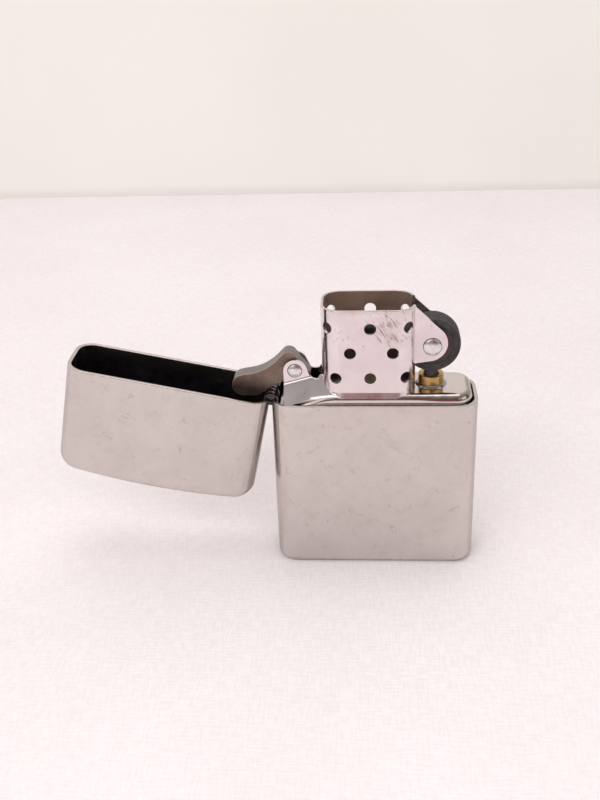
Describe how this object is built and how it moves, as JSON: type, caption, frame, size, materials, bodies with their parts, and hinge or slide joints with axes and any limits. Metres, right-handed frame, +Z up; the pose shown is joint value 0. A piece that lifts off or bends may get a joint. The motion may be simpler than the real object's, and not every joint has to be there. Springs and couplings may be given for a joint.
{
  "type": "flip-top petrol lighter",
  "caption": "Pocket windproof petrol lighter with a hinged flip lid, sprung cam, perforated chimney, flint wheel and a fuel insert that lifts out of its case.",
  "frame": {"origin": "centre of the case's flat underside", "axes": "+Z up; +X from the hinge towards the flint wheel; the front face looks along -Y"},
  "size_m": [0.0797, 0.0128, 0.053],
  "materials": {
    "case_steel": "satin, fine grain, light scuffs",
    "insert_steel": "polished with fine scratches",
    "hinge_steel": "dark, satin",
    "cam_steel": "brown-grey, matte",
    "wheel_steel": "matte, file-cut teeth",
    "rivet_steel": "bright, domed",
    "spring_steel": "satin",
    "brass": "turned, slightly tarnished",
    "flint": "matte",
    "felt": "pressed felt",
    "cotton": "loose cotton",
    "wick_fibre": "twisted cord, charred tip"
  },
  "bodies": {
    "case": {"case_bottom": "case_steel", "hinge_case_leaf": "hinge_steel", "hinge_pin": "hinge_steel"},
    "lid": {"lid_shell": "case_steel", "hinge_lid_leaf": "hinge_steel"},
    "insert": {"insert_tank": "insert_steel", "insert_top": "insert_steel", "chimney": "insert_steel", "felt_pad": "felt", "cotton_packing": "cotton", "wick": "wick_fibre", "cam_rivet": "rivet_steel", "cam_spring": "spring_steel", "cam_spring_rivet": "rivet_steel", "wheel_rivet": "rivet_steel", "flint_tube": "brass", "tube_collar": "insert_steel"},
    "cam": {"cam": "cam_steel"},
    "wheel": {"flint_wheel": "wheel_steel"},
    "flint": {"flint": "flint", "spring_tip": "brass", "flint_spring": "spring_steel"},
    "screw": {"flint_screw": "brass"}
  },
  "joints": [
    {"name": "lid_hinge", "type": "hinge", "parent": "case", "child": "lid", "pos_m": [-0.0192, 0, 0.0348], "axis": [0, -1, 0], "range_deg": [-168, 0]},
    {"name": "insert_slide", "type": "slide", "parent": "case", "child": "insert", "axis": [0, 0, 1], "range_m": [0, 0.04]},
    {"name": "cam_pivot", "type": "hinge", "parent": "insert", "child": "cam", "pos_m": [-0.0146, 0, 0.0401], "axis": [0, -1, 0], "range_deg": [-105, 1]},
    {"name": "wheel_spin", "type": "hinge", "parent": "insert", "child": "wheel", "pos_m": [0.0105, 0, 0.045], "axis": [0, 1, 0], "continuous": true},
    {"name": "flint_feed", "type": "slide", "parent": "insert", "child": "flint", "axis": [0, 0, 1], "range_m": [-0.0012, 0], "deforming": ["flint_spring"]},
    {"name": "screw_turn", "type": "hinge", "parent": "insert", "child": "screw", "pos_m": [0.0105, 0, 0.0016], "axis": [0, 0, 1], "continuous": true}
  ],
  "couplings": [
    {"joint": "cam_pivot", "follows": "lid_hinge", "ratio": 0.62}
  ]
}
